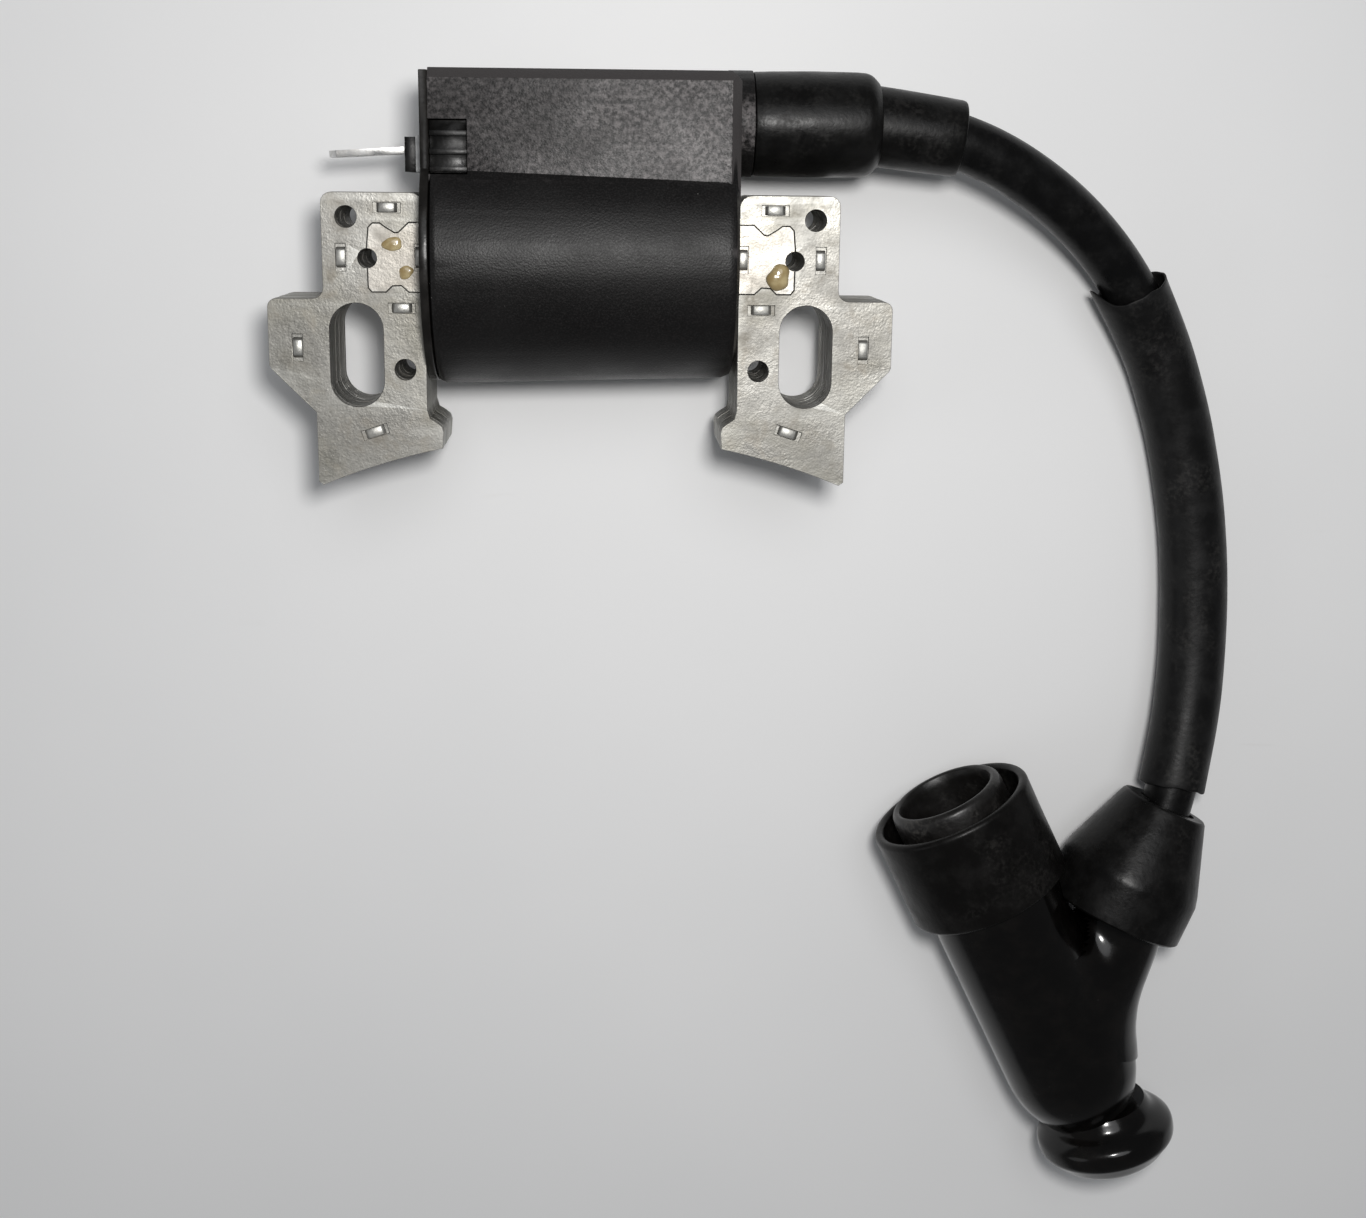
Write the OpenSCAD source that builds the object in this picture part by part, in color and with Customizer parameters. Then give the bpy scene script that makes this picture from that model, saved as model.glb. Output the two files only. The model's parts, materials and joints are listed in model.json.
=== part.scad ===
// Ignition coil for a small single-cylinder engine: laminated core, moulded coil case,
// plug lead with a protective sleeve, and a Y-shaped spark plug cap.
// X runs along the coil from leg to leg, Y points away from the flywheel, Z is up from the bench.

/* [Laminated core] */
// Thickness of the steel stack
stack_t = 15; // [10:0.5:22]
// Distance between the two mounting slots
slot_pitch = 56; // [50:0.5:64]
// Width of a mounting slot
slot_w = 6.6; // [5.5:0.1:7.5]
// End-to-end length of a mounting slot
slot_l = 12.8; // [9:0.1:14]
// Radius of the flywheel that the pole faces follow
flywheel_r = 85; // [70:0.5:100]
// Air gap between flywheel and pole faces
air_gap = 0.4; // [0.2:0.05:0.8]

/* [Coil case] */
// Radius of the barrel at its open left end
barrel_r1 = 16; // [15.6:0.1:16]
// Radius of the barrel at its closed right end
barrel_r2 = 15.2; // [14.9:0.1:16]
// Depth of the box section, front to back
box_depth = 24; // [22:0.5:26]
// Diameter of the lead tower's collar and its boot
tower_d = 13; // [12:0.1:14]

/* [Kill switch terminal] */
// Width of the blade
blade_w = 6.3; // [4.8:0.1:6.4]
// Thickness of the blade
blade_t = 0.8; // [0.5:0.1:1]

/* [Plug lead] */
// Diameter of the lead
lead_d = 7; // [6:0.1:7]
// Outside diameter of the loose sleeve
sleeve_od = 9.6; // [9:0.1:11]
// Inside diameter of the loose sleeve
sleeve_id = 8.3; // [8:0.1:8.6]

/* [Spark plug cap] */
// Outside diameter of the rubber collar round the mouth
collar_d = 23; // [21:0.1:23]
// Outside diameter of the main tube
tube_d = 18.8; // [18:0.1:19]
// Bore of the mouth seal
seal_bore = 13.1; // [12:0.1:13.5]
// Outside diameter of the side branch
branch_d = 11.7; // [11:0.1:12.4]
// Diameter of the end knob
knob_d = 19.8; // [17:0.1:21]

/* [Hidden] */
$fn = 48;
zc = 16;                      // height of the coil's own axis
yc = 3;                       // the same axis, across the part
slot_y = -9;
z0 = zc - stack_t / 2;        // back face of the steel stack
z1 = zc + stack_t / 2;        // near face of the steel stack
pole_r = flywheel_r + air_gap;
wheel_y = -20.74 - sqrt(pole_r * pole_r - 17.87 * 17.87);
case_l = -18.3;
case_r = 19.1;
box_l = -18.3;
box_r = 19.3;
box_top = 25.4;
box_z0 = zc - box_depth / 2;
box_z1 = zc + box_depth / 2;
tower_y = 19.6;
lead_r = lead_d / 2;
cap_z = 11.6;
cap_j = [70.3, -111.6, cap_z]; // where the cap's two axes cross
main_a = -64;                 // direction of the main tube, mouth to knob
cap_roll = -4.2;              // turn about the main tube that lets the boot down to the bench
branch_a = 136;               // direction of the branch, outwards, from the main tube
boot_a = 129.8;               // direction of the cable boot, the same way
boot_at = [-29.35, 27.8, 0];  // middle of the cable boot's rim, in the cap's own frame
mouth = -45.9;                // mouth plane, along the main axis from the crossing
e = 0.03;                     // assembly clearance

// Centreline of the plug lead, from the tower to the cap's branch.
lead_route = [
    [22, 19.6, 16], [29, 19.6, 16], [36, 19.6, 16], [42, 19.1, 16],
    [47.7, 17.7, 15.9], [52.9, 15.7, 15.2], [58, 12.9, 14], [62.8, 9.6, 12.4],
    [67.2, 5.8, 10.7], [71.1, 1.6, 9.1], [74.5, -3.1, 7.7], [77.6, -8.7, 6.4],
    [80.3, -15.2, 5.5], [82.6, -22.6, 5], [84.5, -31.5, 4.9], [85.6, -41.4, 5.2],
    [85.8, -51.4, 5.9], [85.1, -60.7, 7.2], [83.6, -69.3, 8.7], [81.6, -76.8, 9.7],
    [79.9, -82.1, 10.1], [78.1, -87.4, 10.4], [76.4, -92.7, 10.6]
];
// The stretch of the same centreline that the sleeve covers.
sleeve_route = [
    [73.1, -0.8, 8.3], [77.6, -8.7, 6.4], [80.3, -15.2, 5.5], [82.6, -22.6, 5],
    [84.5, -31.5, 4.9], [85.6, -41.4, 5.2], [85.8, -51.4, 5.9], [85.1, -60.7, 7.2],
    [83.3, -70.7, 8.9]
];

// Bared strands at the two ends: radius, and the gap that keeps them off the lead's end faces
core_r = 0.9;
core_gap = 0.05;
// The strands in the cap run from the cord screw's tip to the end of the lead
cap_core_start = 18.5;
cap_core_h = norm(lead_route[len(lead_route) - 1] - cap_j) - cap_core_start - core_gap;

// Which piece to show

// ---------- shared shapes ----------

// Points of an arc, for a rounded corner in a polygon.
function arc(c, r, a0, a1, n = 4) =
    [for (k = [0:n]) c + r * [cos(a0 + (a1 - a0) * k / n), sin(a0 + (a1 - a0) * k / n)]];

function unit(v) = v / norm(v);

// Catmull-Rom curve through a list of points, n steps to a span.
function cr(a, b, c, d, t) =
    0.5 * (2 * b + (c - a) * t + (2 * a - 5 * b + 4 * c - d) * t * t
    + (3 * b - a - 3 * c + d) * t * t * t);
function smooth(p, n) = [
    for (i = [0:len(p) - 2])
        for (k = [0:n - 1])
            cr(p[max(i - 1, 0)], p[i], p[i + 1], p[min(i + 2, len(p) - 1)], k / n),
    p[len(p) - 1]
];
function tangent(p, i) = unit(p[min(i + 1, len(p) - 1)] - p[max(i - 1, 0)]);
function ring(c, t, r, n) =
    let (u = unit(cross([0, 0, 1], t)), v = cross(t, u))
    [for (a = [0:n - 1]) c + r * (cos(360 * (a + 0.5) / n) * u + sin(360 * (a + 0.5) / n) * v)];
function quad(i, j, a, n) =
    let (b = (a + 1) % n)
    [[i * n + a, j * n + a, j * n + b], [i * n + a, j * n + b, i * n + b]];

// Round solid tube along a route.
module cable(route, r, n = 12, steps = 2) {
    p = smooth(route, steps);
    m = len(p);
    pts = [for (i = [0:m - 1]) each ring(p[i], tangent(p, i), r, n)];
    sides = [for (i = [0:m - 2]) for (a = [0:n - 1]) each quad(i, i + 1, a, n)];
    cap0 = [for (a = [0:n - 1]) a];
    cap1 = [for (a = [0:n - 1]) m * n - 1 - a];
    polyhedron(points = pts, faces = concat(sides, [cap0, cap1]), convexity = 6);
}

// Open-ended hose along a route.
module hose(route, ro, ri, n = 12, steps = 2) {
    p = smooth(route, steps);
    m = len(p);
    outer = [for (i = [0:m - 1]) each ring(p[i], tangent(p, i), ro, n)];
    inner = [for (i = [m - 1:-1:0]) each ring(p[i], tangent(p, i), ri, n)];
    faces = [for (i = [0:2 * m - 1]) for (a = [0:n - 1]) each quad(i, (i + 1) % (2 * m), a, n)];
    polyhedron(points = concat(outer, inner), faces = faces, convexity = 8);
}

// Turns a shape built upwards so that it runs along +X from the given point.
module along_x(x, y, z) {
    translate([x, y, z])
        rotate([0, 90, 0])
            children();
}

// Round tube along +X.
module tube_x(x, l, ro, ri) {
    along_x(x, yc, zc)
        difference() {
            cylinder(h = l, r = ro);
            translate([0, 0, -1])
                cylinder(h = l + 2, r = ri);
        }
}

// Block given by its lowest and highest corners.
module block(a, b) {
    translate(a)
        cube(b - a);
}

// Frames of the spark plug cap: its own, with X along the main tube, then its three axes.
module on_cap() {
    translate(cap_j)
        rotate([0, 0, main_a])
            rotate([cap_roll, 0, 0])
                children();
}
module on_main() {
    on_cap()
        rotate([0, 90, 0])
            children();
}
module on_branch() {
    on_cap()
        rotate([0, 0, branch_a])
            rotate([0, 90, 0])
                children();
}
module on_boot() {
    on_cap()
        translate(boot_at)
            rotate([0, 0, boot_a])
                rotate([0, 90, 0])
                    children();
}

// ---------- laminated core ----------

// Outline of the core bar's locking head, at the left end.
head = [
    [-21.25, 7.2], [-22.55, 6], [-23, 5.95], [-24.1, 6.6], [-24.8, 7.1], [-25.7, 7.1],
    [-26.2, 6.6], [-26.45, 4], [-26.4, 1.6], [-26.35, -0.7], [-25.95, -1.2],
    [-24.2, -1.2], [-23.4, -0.45], [-22.3, -0.4], [-21.4, -1.2]
];

// Pressed dimple that interlocks the plates.
module dimple(x, y, a) {
    translate([x, y, z1])
        rotate([0, 0, a])
            cube([3.3, 1.2, 1], center = true);
}

module leg_profile() {
    polygon(concat(
        arc([-30.7, 9.55], 1.3, 180, 90),
        arc([-21, 9.25], 1.6, 90, 0),
        [[-19.4, 7.23], [-21.25, 7.23], [-22.55, 6.03], [-23, 5.98], [-24.1, 6.63],
         [-24.8, 7.13], [-25.7, 7.13], [-26.23, 6.6], [-26.48, 4], [-26.43, 1.6],
         [-26.38, -0.73], [-25.95, -1.23], [-24.2, -1.23], [-23.4, -0.48],
         [-22.3, -0.43], [-21.4, -1.23], [-19.4, -1.23]],
        [[-19.4, -15.8]],
        [[-19.1, -16.85], [-18.2, -17.4], [-17.6, -17.9], [-17.4, -18.6], [-17.55, -20.6]],
        [[-17.8, -23], [-32, -27], [-32.6, -25.35], [-33.25, -24.9]],
        [[-33.25, -16.2], [-38.7, -10.75], [-38.9, -10.3]],
        arc([-37.8, -3.13], 1.1, 180, 90),
        arc([-33.3, -0.73], 1.3, -90, 0)
    ));
}

module leg_solid() {
    difference() {
        translate([0, 0, z0])
            linear_extrude(height = stack_t)
                difference() {
                    leg_profile();
                    translate([0, wheel_y])
                        circle(r = pole_r, $fn = 360);
                    for (s = [-1, 1])
                        translate([-slot_pitch / 2, slot_y + s * (slot_l - slot_w) / 2])
                            circle(d = slot_w);
                    translate([-slot_pitch / 2, slot_y])
                        square([slot_w, slot_l - slot_w], center = true);
                    translate([-28.93, 7.87])
                        circle(r = 1.3);
                    translate([-22.06, -10.77])
                        circle(r = 1.28);
                    translate([-26.42, 2.87])
                        circle(r = 1.15);
                }
        dimple(-23.9, 9, 0);
        dimple(-29.67, 2.96, 90);
        dimple(-22.33, -3.2, 0);
        dimple(-35.3, -8.1, 90);
        dimple(-26, -18.6, 18);
    }
}

module left_leg() {
    color([0.62, 0.62, 0.58])
        leg_solid();
}

module right_leg() {
    color([0.62, 0.62, 0.58])
        mirror([1, 0, 0])
            leg_solid();
}

module core_bar() {
    far = [for (i = [len(head) - 1:-1:0]) [-head[i][0], head[i][1]]];
    color([0.70, 0.69, 0.65])
        difference() {
            translate([0, 0, z0])
                linear_extrude(height = stack_t)
                    difference() {
                        polygon(concat(head, far));
                        for (s = [-1, 1])
                            translate([s * 26.42, 2.87])
                                circle(r = 1.15);
                    }
            dimple(-20, 2.98, 90);
            dimple(20, 2.98, 90);
        }
}

// Drops of locking varnish on the two joints.
module locking_varnish() {
    color([0.62, 0.52, 0.28])
        for (d = [[24.4, 0.85, 1.6, 0.8], [-23.3, 4.6, 1.3, 0.35], [-21.7, 1.2, 1, 0.3]])
            translate([d[0], d[1], z1])
                rotate_extrude()
                    polygon([[0, 0], [d[2], 0], [d[2] * 0.92, d[3] * 0.45],
                             [d[2] * 0.6, d[3] * 0.85], [0, d[3]]]);
}

// ---------- coil case ----------

module barrel_outer() {
    w = case_r - case_l;
    along_x(case_l, yc, zc)
        rotate_extrude()
            polygon([[0, 0], [barrel_r1 - 1, 0], [barrel_r1 - 0.3, 0.3], [barrel_r1, 1],
                     [barrel_r2, w - 1.4], [barrel_r2 - 0.4, w - 0.4],
                     [barrel_r2 - 1.4, w], [0, w]]);
}

// Box section with its long edges taken off.
module box_outer() {
    c = 1.7;
    difference() {
        block([box_l, 8, box_z0], [box_r, box_top, box_z1]);
        for (z = [box_z0, box_z1]) {
            translate([0, box_top, z])
                rotate([45, 0, 0])
                    cube([60, c, c], center = true);
            translate([box_r, 20, z])
                rotate([0, 45, 0])
                    cube([c, 60, c], center = true);
        }
        translate([box_r, box_top, zc])
            rotate([0, 0, 45])
                cube([c, c, 60], center = true);
    }
}

module coil_case() {
    color([0.07, 0.07, 0.07])
        difference() {
            union() {
                barrel_outer();
                box_outer();
                along_x(box_r - 1, tower_y, zc)
                    cylinder(h = 3, d = tower_d);
                along_x(box_r, tower_y, zc)
                    cylinder(h = 12.7, r = 5);
            }
            union() {
                along_x(case_l - 0.5, yc, zc)
                    cylinder(h = 0.5 + 36.1, r1 = barrel_r1 - 1.3, r2 = barrel_r2 - 1.3);
                block([box_l - 0.6, 10, box_z0 + 1.4], [17.9, box_top - 1.4, box_z1 - 1.4]);
            }
            block([17, yc - 4.25, z0 - 0.05], [20, yc + 4.25, z1 + 0.05]);
            along_x(17, tower_y, zc)
                cylinder(h = 5, r = 1.25);
            along_x(21.5, tower_y, zc)
                cylinder(h = 12, r = 3.6);
            block([box_l - 1, 13, 22], [-13.65, 19.44, 30]);
        }
}

module end_plate() {
    color([0.05, 0.05, 0.05])
        difference() {
            union() {
                along_x(-19.35, yc, zc)
                    cylinder(h = 1.05, r = barrel_r1 - 0.35);
                block([-19.35, 10, box_z0 + 0.5], [-18.3, box_top - 0.3, box_z1 - 0.5]);
            }
            block([-20, yc - 4.25, z0 - 0.05], [-18, yc + 4.25, z1 + 0.05]);
            block([-20, 13.2, 10.9], [-18, 17.7, 21.6]);
        }
}

// Potting compound across the open end of the case.
module resin_fill() {
    color([0.10, 0.09, 0.08])
        difference() {
            union() {
                along_x(-18.2, yc, zc)
                    cylinder(h = 1.6, r = barrel_r1 - 1.45);
                block([-18.2, 11, box_z0 + 1.5], [-16.6, box_top - 1.5, box_z1 - 1.5]);
            }
            block([-20, yc - 4.25, z0 - 0.05], [-16, yc + 4.25, z1 + 0.05]);
            block([-20, 12.8, 9.8], [-16, 19.6, 27]);
        }
}

module primary_bobbin() {
    color([0.75, 0.72, 0.62])
        difference() {
            union() {
                block([-16.4, yc - 5.1, zc - 8.4], [17.5, yc + 5.1, zc + 8.4]);
                block([-16.4, yc - 6.3, zc - 9.6], [-15.2, yc + 6.3, zc + 9.6]);
                block([16.3, yc - 6.3, zc - 9.6], [17.5, yc + 6.3, zc + 9.6]);
            }
            block([-17, yc - 4.3, z0 - 0.1], [18, yc + 4.3, z1 + 0.1]);
        }
}

module primary_winding() {
    color([0.72, 0.36, 0.16])
        difference() {
            block([-15.1, yc - 6.2, zc - 9.5], [16.2, yc + 6.2, zc + 9.5]);
            block([-16, yc - 5.15, zc - 8.45], [17, yc + 5.15, zc + 8.45]);
        }
}

// Coil former with thin fins between the winding sections.
module secondary_bobbin() {
    color([0.85, 0.83, 0.76])
        along_x(-11, yc, zc)
            difference() {
                union() {
                    cylinder(h = 27, r = 12.3);
                    for (i = [0:7])
                        translate([0, 0, i * 3.74])
                            cylinder(h = 0.82, r = 13.5);
                }
                translate([0, 0, -1])
                    cylinder(h = 29, r = 11.65);
            }
}

module secondary_winding() {
    color([0.78, 0.42, 0.20])
        for (i = [0:6])
            tube_x(-11 + 0.84 + i * 3.74, 2.88, 13.2, 12.33);
}

module circuit_board() {
    color([0.10, 0.32, 0.18])
        block([-13, 19.4, 8], [13, 20.6, 24]);
}

module switching_transistor() {
    color([0.12, 0.12, 0.13])
        union() {
            block([2, 20.65, 10], [12, 23.6, 19]);
            for (i = [0:2])
                block([-1, 21.4, 11.5 + i * 2.5], [2, 21.9, 12.5 + i * 2.5]);
        }
}

module board_components() {
    color([0.55, 0.45, 0.30]) {
        block([-10, 20.65, 10], [-6.8, 22.4, 14]);
        block([-5, 20.65, 18], [-2, 21.8, 20]);
        block([4, 20.65, 20.5], [7, 21.7, 22.5]);
        translate([-8, 20.65, 19])
            rotate([-90, 0, 0])
                cylinder(h = 2.8, r = 1.9);
    }
}

// ---------- kill switch terminal ----------

module kill_terminal() {
    color([0.80, 0.80, 0.80])
        difference() {
            union() {
                translate([-21.8, 15.95, zc])
                    rotate([0, 0, 3.5])
                        rotate([90, 0, 0])
                            translate([0, 0, -blade_t / 2])
                                linear_extrude(height = blade_t)
                                    polygon([[0.5, -blade_w / 2], [-8.6, -blade_w / 2],
                                             [-9.6, -blade_w / 2 + 1.2], [-9.6, blade_w / 2 - 1.2],
                                             [-8.6, blade_w / 2], [0.5, blade_w / 2]]);
                block([-21.8, 15.95 - blade_t / 2, zc - blade_w / 2],
                      [-12.95, 15.95 + blade_t / 2, zc + blade_w / 2]);
            }
            translate([-27.6, 19, zc])
                rotate([90, 0, 0])
                    cylinder(h = 8, r = 0.9);
        }
}

module terminal_block() {
    h = blade_t / 2 + e;
    w = blade_w / 2 + e;
    color([0.06, 0.06, 0.06])
        difference() {
            union() {
                block([-21.8, 13.3, 11.4], [-20.45, 17.5, 20.6]);
                block([-20.6, 14.3, 12.2], [-18, 17, 19.8]);
                block([-18.2, 13.15, 10], [-13.75, 19.3, 26.6]);
                for (y = [13.3, 15.35, 17.5])
                    block([-18.2, y, 26.5], [-13.75, y + 0.6, 27.4]);
            }
            block([-23, 15.95 - h, zc - w], [-12, 15.95 + h, zc + w]);
            translate([-21.8, 15.95, zc])
                rotate([0, 0, 3.5])
                    cube([1.6, 2 * h, 2 * w], center = true);
        }
}

module terminal_seal() {
    color([0.62, 0.62, 0.62])
        difference() {
            block([-20.4, 13.25, 11], [-18.35, 17.65, 21.5]);
            block([-21, 14.25, 12.15], [-18, 17.05, 19.85]);
        }
}

module kill_strap() {
    color([0.72, 0.45, 0.25])
        block([-12.9, 15.55, 14], [-12.3, 19.35, 18]);
}

// ---------- lead tower ----------

module ht_spike() {
    color([0.78, 0.62, 0.30])
        along_x(13.2, tower_y, zc)
            union() {
                cylinder(h = 2, r = 2.2);
                cylinder(h = 7.2, r = 1.2);
            }
}

module coil_boot() {
    color([0.05, 0.05, 0.05])
        difference() {
            union() {
                along_x(21.4, tower_y, zc)
                    rotate_extrude()
                        polygon([[0, 0], [6.2, 0], [6.5, 0.3], [6.5, 14.6], [6.2, 15.2],
                                 [5.2, 16], [0, 16]]);
                translate([36, 19.62, zc])
                    rotate([0, 0, -7.5])
                        rotate([0, 90, 0])
                            cylinder(h = 12.1, r1 = 4.95, r2 = 4.7);
            }
            along_x(21, tower_y, zc)
                cylinder(h = 11.3, r = 5.05);
            along_x(32, tower_y, zc)
                cylinder(h = 5.2, r = 4.1);
            translate([36, 19.62, zc])
                rotate([0, 0, -7.5])
                    rotate([0, 90, 0])
                        cylinder(h = 13, r = 3.9);
        }
}

// ---------- plug lead ----------

module ht_lead() {
    color([0.04, 0.04, 0.04])
        cable(lead_route, lead_r);
}

// Bared strands at the two ends of the lead.
module lead_core() {
    color([0.72, 0.44, 0.22]) {
        along_x(20.45, tower_y, zc)
            cylinder(h = lead_route[0][0] - 20.45 - core_gap, r = core_r);
        on_branch()
            translate([0, 0, cap_core_start])
                cylinder(h = cap_core_h, r = core_r);
    }
}

module lead_sleeve() {
    color([0.08, 0.08, 0.08])
        hose(sleeve_route, sleeve_od / 2, sleeve_id / 2);
}

// ---------- spark plug cap ----------

module cap_body() {
    tr = tube_d / 2;
    color([0.03, 0.03, 0.03])
        difference() {
            union() {
                on_main()
                    rotate_extrude()
                        polygon([[0, mouth + 6], [tr - 0.3, mouth + 6], [tr, mouth + 6.4],
                                 [tr, 0.5], [tr - 0.25, 2.2], [tr - 0.9, 4.2],
                                 [tr - 1.7, 5.8], [tr - 2.55, 7.3], [0, 7.3]]);
                on_branch()
                    cylinder(h = 31, d = branch_d);
            }
            on_main() {
                translate([0, 0, mouth - 1])
                    cylinder(h = 15.1, r = 8.25);
                translate([0, 0, mouth + 13])
                    cylinder(h = 21, r = 7.5);
                translate([0, 0, mouth + 33])
                    cylinder(h = 12.9 + 1, r = 1.5);
            }
            on_branch() {
                cylinder(h = 6, r = 1.2);
                translate([0, 0, 5.4])
                    cylinder(h = 8, r = 2.4);
                translate([0, 0, 12.6])
                    cylinder(h = 20, r = 3.8);
            }
        }
}

module cap_collar() {
    tr = tube_d / 2;
    color([0.06, 0.06, 0.06])
        on_main()
            translate([0, 0, mouth])
                rotate_extrude()
                    polygon([[tr + 0.7, 1.9], [collar_d / 2 - 0.4, 1.9], [collar_d / 2, 2.4],
                             [collar_d / 2, 16.1], [collar_d / 2 - 0.4, 16.5],
                             [tr + e, 16.5], [tr + e, 6.4], [tr + 0.7, 5.4]]);
}

module cap_seal_ring() {
    color([0.07, 0.07, 0.07])
        on_main()
            translate([0, 0, mouth])
                difference() {
                    rotate_extrude()
                        polygon([[0, 0], [7.7, 0], [8.2, 0.5], [8.2, 14], [0, 14]]);
                    translate([0, 0, -1])
                        cylinder(h = 16, d = seal_bore);
                }
}

module cap_cable_boot() {
    color([0.05, 0.05, 0.05])
        difference() {
            on_boot()
                rotate([180, 0, 0])
                    rotate_extrude()
                        polygon([[0, 0], [5.9, 0], [6.2, 0.3], [9.7, 9.9], [10.1, 11.4],
                                 [10.15, 17.2], [9.8, 17.5], [0, 17.5]]);
            on_branch() {
                translate([0, 0, 10])
                    cylinder(h = 21.1, d = branch_d + 0.1);
                translate([0, 0, 20])
                    cylinder(h = 30, r = 4);
            }
            on_main() {
                translate([0, 0, mouth + 10])
                    cylinder(h = 40, d = tube_d + 0.1);
                translate([0, 0, mouth + 1])
                    cylinder(h = 15.6, d = collar_d + 0.1);
            }
        }
}

module cap_knob() {
    kr = knob_d / 2;
    color([0.03, 0.03, 0.03])
        difference() {
            on_cap()
                translate([12.1, 0.5, 0])
                    rotate([0, 0, -11.5])
                        rotate([0, 90, 0])
                            rotate_extrude()
                                polygon([[0, -5.6], [6.7, -5.6], [6.9, -4.2], [7.6, -2.6],
                                         [kr - 0.8, -1.8], [kr, -0.8], [kr, 0.8],
                                         [kr - 0.7, 2.1], [7.6, 4], [4.6, 5.6], [0, 6.3]]);
            on_main()
                translate([0, 0, -4])
                    cylinder(h = 11.35, r = 12);
        }
}

module cord_screw() {
    color([0.78, 0.62, 0.30])
        on_branch()
            union() {
                translate([0, 0, 12.65])
                    cylinder(h = 1.2, r = 2.8);
                translate([0, 0, 12.65])
                    cylinder(h = 4.8, r = 1.1);
                translate([0, 0, 17.4])
                    cylinder(h = 1.05, r1 = 1.1, r2 = 0.5);
                for (i = [0:3])
                    translate([0, 0, 14.2 + i * 0.9])
                        cylinder(h = 0.4, r1 = 1.1, r2 = 1.7);
            }
}

module cap_resistor() {
    color([0.62, 0.50, 0.36])
        on_branch()
            union() {
                translate([0, 0, 5.5])
                    cylinder(h = 7.1, r = 2.3);
                translate([0, 0, 1.9])
                    cylinder(h = 3.7, r = 0.8);
            }
}

module plug_contact() {
    color([0.78, 0.62, 0.30])
        on_main()
            translate([0, 0, mouth])
                difference() {
                    union() {
                        translate([0, 0, 25])
                            cylinder(h = 8.9, r = 4);
                        translate([0, 0, 33.5])
                            cylinder(h = 9.8, r = 1.4);
                    }
                    translate([0, 0, 24])
                        cylinder(h = 8.9, r = 3.2);
                }
}

module contact_clip() {
    color([0.75, 0.75, 0.76])
        on_main()
            translate([0, 0, mouth + 28])
                rotate_extrude()
                    translate([2.85, 0])
                        circle(r = 0.3, $fn = 16);
}

// ---------- selection ----------

left_leg();
right_leg();
core_bar();
locking_varnish();
coil_case();
end_plate();
resin_fill();
primary_bobbin();
primary_winding();
secondary_bobbin();
secondary_winding();
circuit_board();
switching_transistor();
board_components();
kill_terminal();
terminal_block();
terminal_seal();
kill_strap();
ht_spike();
coil_boot();
ht_lead();
lead_core();
lead_sleeve();
cap_body();
cap_collar();
cap_seal_ring();
cap_cable_boot();
cap_knob();
cord_screw();
cap_resistor();
plug_contact();
contact_clip();
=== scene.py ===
import bpy
import bmesh
import json
import math
import random
from mathutils import Matrix, Vector, noise

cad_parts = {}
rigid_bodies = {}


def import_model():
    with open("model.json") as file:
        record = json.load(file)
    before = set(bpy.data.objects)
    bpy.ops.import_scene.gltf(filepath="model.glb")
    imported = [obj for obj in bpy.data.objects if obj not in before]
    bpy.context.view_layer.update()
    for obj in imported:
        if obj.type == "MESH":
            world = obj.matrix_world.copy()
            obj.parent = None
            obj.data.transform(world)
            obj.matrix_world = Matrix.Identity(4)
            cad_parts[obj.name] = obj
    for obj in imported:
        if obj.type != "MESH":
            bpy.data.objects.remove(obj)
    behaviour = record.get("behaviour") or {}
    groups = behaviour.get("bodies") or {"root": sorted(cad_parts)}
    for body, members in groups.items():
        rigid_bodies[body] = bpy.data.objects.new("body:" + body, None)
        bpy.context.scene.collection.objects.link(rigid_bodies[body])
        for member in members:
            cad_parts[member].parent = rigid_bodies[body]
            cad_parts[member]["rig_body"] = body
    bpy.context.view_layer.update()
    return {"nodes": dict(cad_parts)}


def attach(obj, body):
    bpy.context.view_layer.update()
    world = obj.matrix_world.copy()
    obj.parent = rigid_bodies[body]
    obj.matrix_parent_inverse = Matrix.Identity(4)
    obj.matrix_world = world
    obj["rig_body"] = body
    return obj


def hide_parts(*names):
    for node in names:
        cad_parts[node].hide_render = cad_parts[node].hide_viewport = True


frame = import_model()
N = frame["nodes"]
MM = 0.001
random.seed(11)

# ---------------------------------------------------------------- camera
CAM_AT = (0.0018869, 0.0112369, 0.2564905)
CAM_TURN = (-12.742, -2.586, 0.520)   # degrees about X, then Y, then Z
cam_data = bpy.data.cameras.new("camera")
cam_data.sensor_width = 36.0
cam_data.lens = 48.7555
cam_data.clip_start = 0.005
cam = bpy.data.objects.new("camera", cam_data)
bpy.context.scene.collection.objects.link(cam)
cam.location = CAM_AT
cam.rotation_euler = [math.radians(a) for a in CAM_TURN]
bpy.context.scene.camera = cam


# ---------------------------------------------------------------- helpers
def link(name, me, mat=None, smooth=None):
    ob = bpy.data.objects.new(name, me)
    bpy.context.scene.collection.objects.link(ob)
    if mat is not None:
        me.materials.clear()
        me.materials.append(mat)
    if smooth is not None and hasattr(me, "polygons"):
        me.shade_smooth()
        me.set_sharp_from_angle(angle=math.radians(smooth))
    return ob


def mesh_from(name, verts, faces, mat=None, smooth=40):
    me = bpy.data.meshes.new(name)
    me.from_pydata([tuple(v) for v in verts], [], faces)
    me.validate()
    bm = bmesh.new()
    bm.from_mesh(me)
    bmesh.ops.recalc_face_normals(bm, faces=bm.faces)
    bm.to_mesh(me)
    bm.free()
    return link(name, me, mat, smooth)


def catmull(route, n):
    p = [Vector(q) for q in route]
    out = []
    for i in range(len(p) - 1):
        a, b, c, d = p[max(i - 1, 0)], p[i], p[i + 1], p[min(i + 2, len(p) - 1)]
        for k in range(n):
            t = k / n
            out.append(0.5 * (2 * b + (c - a) * t + (2 * a - 5 * b + 4 * c - d) * t * t
                              + (3 * b - a - 3 * c + d) * t ** 3))
    out.append(p[-1])
    return out


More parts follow.
